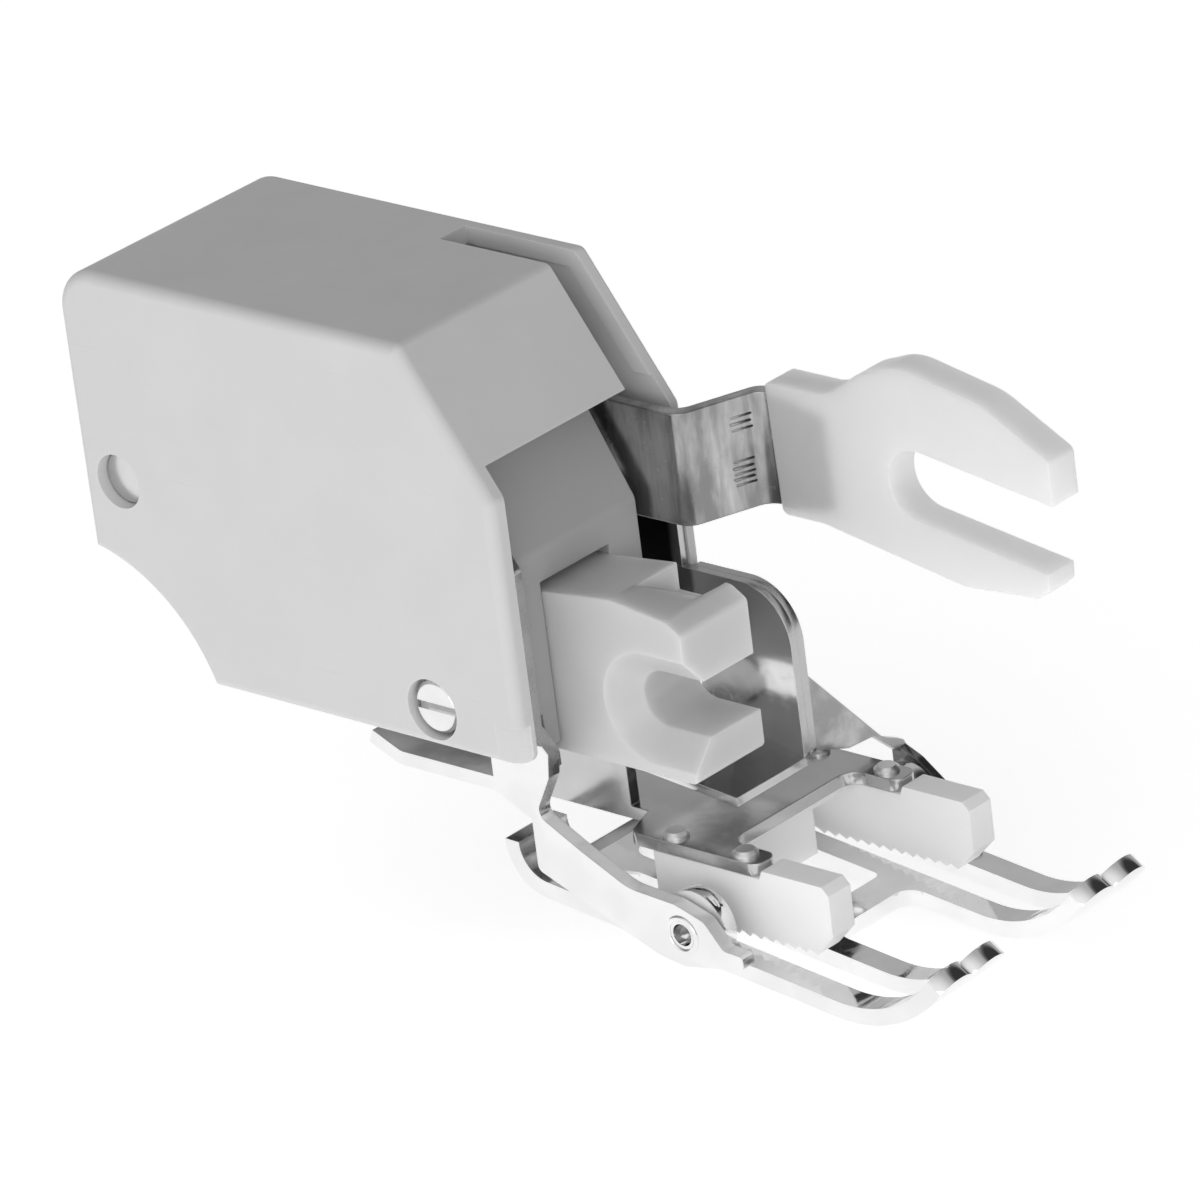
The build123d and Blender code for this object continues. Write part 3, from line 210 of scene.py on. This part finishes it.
def metal(name, tone, roughness, lines_along, waviness, wear=0.25, reach=0.18, patches=0.94, reflection_bands=None,
          inner_shade_span=None, metallic=1.0):
    """Bright plated or rolled metal: soft waviness, fine rolling lines, handling marks and duller edges.

    Patches is the share of the tone in its darker clouds, reflection_bands the direction of broad streaks
    that are partly real polishing marks and partly painted reflection, and inner_shade_span the housing y
    between which a near-black painted shade covers it.
    """
    material, g, position, shader = start_material(name)
    clouds = g.noise(position, 260.0, 4.0)
    lines = g.noise(g.stretched(position, lines_along), 1000.0, 3.0)
    smears = g.remap(g.noise(position, 900.0, 5.0), 0.52, 0.72)
    edges = edge_mask(g, reach)
    base = g.blend(g.remap(clouds, 0.38, 0.62), grey(tone * patches), grey(tone))
    # Painted reflection: broad upright streaks of dark and bright tone, partly real brushed streaks.
    if reflection_bands:
        painted_reflection = g.remap(g.noise(g.stretched(position, reflection_bands), 1000.0, 4.0, 0.6), 0.36, 0.64)
        base = g.blend(painted_reflection, grey(tone * 0.55), g.blend(lines, grey(tone), grey(tone * 1.5)))
    worn = g.blend(g.math("MULTIPLY", edges, wear), base, grey(tone * 0.72))
    # Painted shade: a near-black coat over the faces inside the housing, where shade falls.
    if inner_shade_span:
        depth = g.add("ShaderNodeSeparateXYZ", {0: position}).outputs["Y"]
        start, end = (at(0, y, 0).y for y in inner_shade_span)
        painted_shade_mask = g.math("MULTIPLY", g.remap(depth, start, start + 0.9 * MM), g.remap(depth, end + 3 * MM, end))
        worn = g.blend(painted_shade_mask, worn, grey(0.035))
    g.put(shader, "Base Color", worn)
    shader.inputs["Metallic"].default_value = metallic
    spread = g.math("ADD", g.math("MULTIPLY", smears, 0.07), g.math("MULTIPLY", lines, 0.05))
    worn_roughness = g.math("ADD", g.math("MULTIPLY", edges, 0.1), roughness)
    g.put(shader, "Roughness", g.math("ADD", spread, worn_roughness))
    height = g.math("ADD", g.math("MULTIPLY", g.noise(position, 320.0, 2.0), waviness),
                    g.math("MULTIPLY", lines, 0.02))
    bump = g.add("ShaderNodeBump", {"Strength": 0.5, "Distance": 0.05 * MM, "Height": height})
    g.put(shader, "Normal", bump.outputs[0])
    return material


housing_plastic = plastic("housing_plastic", 0.63, 0.46, 0.55)
wall_plastic = plastic("wall_plastic", 0.39, 0.5, 0.6)
fork_nylon = plastic("fork_nylon", 0.78, 0.36, 0.3, rubbing_and_highlight=0.1, milky=1.0, depth=4.0)
block_nylon = plastic("block_nylon", 0.6, 0.34, 0.3, rubbing_and_highlight=0.06, milky=0.8, depth=2.5)
pad_nylon = plastic("pad_nylon", 0.94, 0.38, 0.3, rubbing_and_highlight=0.1, milky=0.3, depth=1.0)
hidden_nylon = plastic("hidden_nylon", 0.7, 0.42, 0.3)
chrome = metal("bright_chrome", 0.85, 0.04, (0.3, 3.0, 0.3), 0.5)
arm_chrome = metal("arm_chrome", 0.66, 0.12, (0.3, 2.0, 0.3), 3.0, wear=0.6)
flare_chrome = metal("flare_chrome", 0.5, 0.2, (0.5, 3.0, 0.5), 3.5, wear=1.0, reach=0.45, patches=0.6)
# Painted shade: a darker copy of the chrome for the heel, which would otherwise mirror the bright floor; its
# mottling is real wear.
heel_painted_shade_chrome = metal("heel_painted_shade_chrome", 0.55, 0.16, (3.0, 0.4, 0.4), 3.0, wear=0.9, reach=0.4, patches=0.6)
cut_edge = metal("cut_edge", 0.5, 0.24, (0.1, 3.0, 3.0), 3.5, wear=0.2)
# The right chassis plate carries a painted shade on its faces inside the housing.
chassis_chrome = metal("chassis_chrome", 0.72, 0.09, (0.4, 0.4, 3.0), 0.9, inner_shade_span=INNER_SHADE_DEPTH)
# Painted light: a pale, nearly non-metallic copy of the chrome for faces turned up or left, lighter than
# their reflections make them.
painted_light_chrome = metal("painted_light_chrome", 0.9, 0.42, (3.0, 0.4, 3.0), 1.5, wear=0.8, reach=0.3, patches=0.7,
                    metallic=0.2)
# Lever steel: its upright streaks are partly real brushing, partly painted reflection.
lever_steel = metal("lever_steel", 0.44, 0.2, (3.5, 3.5, 0.2), 1.6, wear=0.6, reach=0.3,
                    reflection_bands=(0.34, 0.34, 0.08))
carrier_steel = metal("carrier_steel", 0.55, 0.16, (3.0, 0.2, 1.0), 0.8, wear=0.3)
rivet_steel = metal("rivet_steel", 0.88, 0.34, (1.0, 1.0, 0.2), 0.6, wear=0.1)
turned_steel = metal("turned_steel", 0.68, 0.18, (4.0, 0.4, 0.4), 0.3)
spring_steel = metal("spring_steel", 0.42, 0.24, (1.0, 1.0, 1.0), 0.2)

FINISHES = {
    "housing": housing_plastic, "front_wall": wall_plastic, "shank_block": block_nylon,
    "needle_fork": fork_nylon, "feed_pads": pad_nylon, "guide_channel": hidden_nylon,
    "left_chassis_plate": chrome, "right_chassis_plate": chassis_chrome, "right_arm": arm_chrome,
    "arm_rivets": chrome, "sole": chrome, "sole_eyelets": chrome, "chassis_screw": chrome,
    "lever_arm": lever_steel, "feed_carrier": carrier_steel, "feed_rivets": rivet_steel,
    "rocker": carrier_steel, "lift_slide": carrier_steel, "spring_bracket": carrier_steel,
    "lever_pin": turned_steel, "lever_spacers": turned_steel, "rocker_pin": turned_steel,
    "rocker_spacer": turned_steel, "rocker_clip": turned_steel, "channel_rivets": turned_steel,
    "drive_pin": turned_steel, "slide_pin": turned_steel, "guide_pins": turned_steel,
    "lift_spring": spring_steel, "stroke_spring": spring_steel,
}
# Edge radius, in millimetres, of the nodes whose softened edges catch the light.
SOFT_EDGES = {
    "housing": 0.12, "front_wall": 0.15, "shank_block": 0.3, "needle_fork": 0.2, "feed_pads": 0.16,
    "left_chassis_plate": 0.14, "right_chassis_plate": 0.12, "right_arm": 0.12, "sole": 0.2,
    "lever_arm": 0.12, "feed_carrier": 0.14,
}


def dress(obj, material):
    obj.data.materials.clear()
    obj.data.materials.append(material)


def placed(name, mesh, material):
    """A new object in the scene, in one finish."""
    obj = bpy.data.objects.new(name, mesh)
    bpy.context.scene.collection.objects.link(obj)
    dress(obj, material)
    return obj


def stand_for(obj, node):
    """Lets a piece move, count and show in place of a CAD node."""
    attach(obj, nodes[node]["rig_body"])
    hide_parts(node)


def new_piece(name, work, material, body):
    """Turns mesh work into a smooth piece that rides on a body."""
    mesh = bpy.data.meshes.new(name)
    work.to_mesh(mesh)
    work.free()
    mesh.shade_smooth()
    obj = placed(name, mesh, material)
    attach(obj, body)
    return obj


def softened(node, width):
    """A copy of a CAD node with rounded edges, which stands for it."""
    mesh = nodes[node].data.copy()
    mesh.name = node + "_soft"
    work = bmesh.new()
    work.from_mesh(mesh)
    bmesh.ops.remove_doubles(work, verts=work.verts, dist=WELD_DISTANCE * MM)
    bmesh.ops.dissolve_limit(work, angle_limit=FLAT_ANGLE, verts=work.verts, edges=work.edges)
    work.to_mesh(mesh)
    work.free()
    obj = placed(node + "_soft", mesh, FINISHES[node])
    bevel = obj.modifiers.new("edges", "BEVEL")
    bevel.width = width * MM
    bevel.segments = 2
    bevel.limit_method = "ANGLE"
    bevel.angle_limit = CREASE_ANGLE
    shown = obj.evaluated_get(bpy.context.evaluated_depsgraph_get())
    final = bpy.data.meshes.new_from_object(shown)
    obj.modifiers.clear()
    obj.data = final
    final.shade_smooth()
    weighted = obj.modifiers.new("normals", "WEIGHTED_NORMAL")
    weighted.weight = 100
    shown = obj.evaluated_get(bpy.context.evaluated_depsgraph_get())
    obj.data = bpy.data.meshes.new_from_object(shown)
    obj.modifiers.clear()
    stand_for(obj, node)
    return obj


def finish_part(obj, material, chosen):
    """Gives the faces that are chosen by their housing point and normal a finish of their own."""
    obj.data.materials.append(material)
    index = len(obj.data.materials) - 1
    for face in obj.data.polygons:
        if chosen(face.center / MM - HOUSING_CORNER, face.normal):
            face.material_index = index


def mark_cut_edges(obj, span):
    """Gives an upright sheet's narrow cut edges, within a span of x, a rougher finish."""
    finish_part(obj, cut_edge, lambda place, normal: abs(normal.x) < 0.3 and span[0] <= place.x <= span[1])


for name, material in FINISHES.items():
    dress(nodes[name], material)
soft = {name: softened(name, width) for name, width in SOFT_EDGES.items()}
mark_cut_edges(soft["left_chassis_plate"], LEFT_PLATE_EDGES_X)
mark_cut_edges(soft["right_chassis_plate"], RIGHT_PLATE_EDGES_X)
mark_cut_edges(soft["right_arm"], ARM_EDGES_X)
finish_part(soft["right_arm"], flare_chrome, lambda place, normal: place.x > ARM_EDGES_X[1])
# Painted light: the chassis plate's upward faces below the housing and the sole's left faces by its ear take
# the pale copy.
finish_part(soft["left_chassis_plate"], painted_light_chrome, lambda place, normal: normal.z > 0.5 and place.z < 0)
finish_part(soft["sole"], painted_light_chrome, lambda place, normal: place.x < SOLE_LEFT_EAR_X and normal.x < -0.5)
# The heel takes the darker copy: painted shade.
finish_part(soft["sole"], heel_painted_shade_chrome, lambda place, normal: place.y > HEEL_FRONT_Y)


def pressed_spring(node):
    """A smooth-shaded copy of a coil spring, which stands for it."""
    obj = placed(node + "_coil", nodes[node].data.copy(), FINISHES[node])
    obj.data.shade_smooth()
    stand_for(obj, node)
    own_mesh(obj)


pressed_spring("stroke_spring")


def press_marks(name, groups, angle, body, material):
    """Stacked press marks on an upright strip, as one mesh of small rounded ribs."""
    work = bmesh.new()
    turn = Matrix.Rotation(angle, 4, "Z")
    size = Matrix.Diagonal([side * MM for side in PRESS_MARK_SIZE] + [1])
    for (x, y), heights in groups:
        for i, z in enumerate(heights):
            middle = Matrix.Translation(at(x + 0.06 * (-1) ** i, y, z))
            bmesh.ops.create_cube(work, size=1.0, matrix=middle @ turn @ size)
    bmesh.ops.bevel(work, geom=work.edges[:], offset=0.05 * MM, segments=2, affect="EDGES")
    new_piece(name, work, material, body)


def rolled_rim(name, x, outward):
    """Rounded collar that an eyelet's edge forms when it is pressed over."""
    work = bmesh.new()
    rings = []
    for i in range(48):
        turn = 2 * math.pi * i / 48
        ring = []
        for k in range(9):
            lift = math.pi * k / 8
            reach = EYELET_RIM_RADIUS + EYELET_RIM_WIRE * math.cos(lift)
            out = x + outward * EYELET_RIM_WIRE * 0.8 * math.sin(lift)
            place = at(out, EYELET_Y + reach * math.cos(turn), EYELET_Z + reach * math.sin(turn))
            ring.append(work.verts.new(place))
        rings.append(ring)
    for i, ring in enumerate(rings):
        after = rings[(i + 1) % len(rings)]
        for k in range(8):
            work.faces.new((ring[k], ring[k + 1], after[k + 1], after[k]))
    bmesh.ops.recalc_face_normals(work, faces=work.faces)
    new_piece(name, work, chrome, "chassis")


rolled_rim("left_eyelet_rim", LEFT_ARM_FACE_X, -1)
rolled_rim("right_eyelet_rim", RIGHT_ARM_FACE_X, 1)
press_marks("lever_press_marks", PRESS_MARKS, STRIP_ANGLE, "lever", lever_steel)


# Floor, light and camera
def make_floor():
    """Plain pale sheet that the object stands over."""
    mesh = bpy.data.meshes.new("floor")
    corners = [(-1, -1), (1, -1), (1, 1), (-1, 1)]
    corners = [(x * FLOOR_REACH, y * FLOOR_REACH, FLOOR_HEIGHT) for x, y in corners]
    mesh.from_pydata(corners, [], [(0, 1, 2, 3)])
    material, g, position, shader = start_material("floor_sheet")
    fibres = g.noise(position, 300.0, 3.0)
    g.put(shader, "Base Color", g.blend(fibres, grey(0.86), grey(0.88)))
    shader.inputs["Roughness"].default_value = 0.9
    shader.inputs["Emission Color"].default_value = (1, 1, 1, 1)
    shader.inputs["Emission Strength"].default_value = 0.6
    placed("floor", mesh, material)


def make_world():
    """Soft grey room: pale on the left, mid grey behind, darker at the front right above the horizon."""
    world = bpy.data.worlds.new("studio")
    bpy.context.scene.world = world
    world.use_nodes = True
    g = Graph(world.node_tree)
    direction = g.add("ShaderNodeTexCoord").outputs["Generated"]

    def towards(x, y, z, low, high):
        aim = Vector((x, y, z)).normalized()
        dot = g.add("ShaderNodeVectorMath", {0: direction, 1: tuple(aim)}, operation="DOT_PRODUCT")
        return g.remap(dot.outputs["Value"], low, high)

    level = g.math("ADD", 0.46, g.math("MULTIPLY", towards(-1, -0.2, 0.25, 0.2, 1.0), 0.55))
    level = g.math("SUBTRACT", level, g.math("MULTIPLY", towards(0.75, -0.45, 0.6, 0.72, 0.93), 0.42))
    level = g.math("SUBTRACT", level, g.math("MULTIPLY", towards(-0.2, 0.8, 0.75, 0.8, 0.95), 0.3))
    level = g.math("MAXIMUM", level, 0.03)
    background = g.add("ShaderNodeBackground", {"Color": (1, 1, 1, 1), "Strength": level})
    output = g.add("ShaderNodeOutputWorld")
    g.tree.links.new(background.outputs[0], output.inputs["Surface"])


def make_softbox(name, place, target, size, power):
    light = bpy.data.lights.new(name, "AREA")
    light.shape = "RECTANGLE"
    light.size = size
    light.size_y = size * 0.7
    light.energy = power
    lamp = bpy.data.objects.new(name, light)
    bpy.context.scene.collection.objects.link(lamp)
    lamp.location = place
    lamp.rotation_euler = (Vector(target) - Vector(place)).to_track_quat("-Z", "Y").to_euler()


def make_camera():
    """Long lens that looks down at the object from its front left."""
    back = Vector((math.sin(CAMERA_AZIMUTH) * math.cos(CAMERA_ELEVATION),
                   -math.cos(CAMERA_AZIMUTH) * math.cos(CAMERA_ELEVATION), math.sin(CAMERA_ELEVATION)))
    level = Vector((0, 0, 1)).cross(back).normalized()
    upright = back.cross(level)
    right = math.cos(CAMERA_ROLL) * level + math.sin(CAMERA_ROLL) * upright
    up = -math.sin(CAMERA_ROLL) * level + math.cos(CAMERA_ROLL) * upright
    place = (CAMERA_AIM + CAMERA_RIGHT * right + CAMERA_UP * up + CAMERA_BACK * back) * MM
    data = bpy.data.cameras.new("photo_camera")
    data.sensor_fit = "HORIZONTAL"
    data.sensor_width = 36.0
    data.lens = CAMERA_LENS
    data.clip_start = 0.01
    data.clip_end = 20.0
    camera = bpy.data.objects.new("photo_camera", data)
    bpy.context.scene.collection.objects.link(camera)
    turn = Matrix((right, up, back)).transposed()
    camera.matrix_world = Matrix.Translation(place) @ turn.to_4x4()
    bpy.context.scene.camera = camera


make_floor()
make_world()
make_softbox("key", (-0.5, -0.35, 0.16), (0, 0.01, 0), 0.45, 0.5)
make_softbox("fill", (0.25, -0.6, 0.2), (0, 0, 0), 0.5, 0.1)
make_camera()
bpy.context.scene.view_settings.view_transform = "Standard"
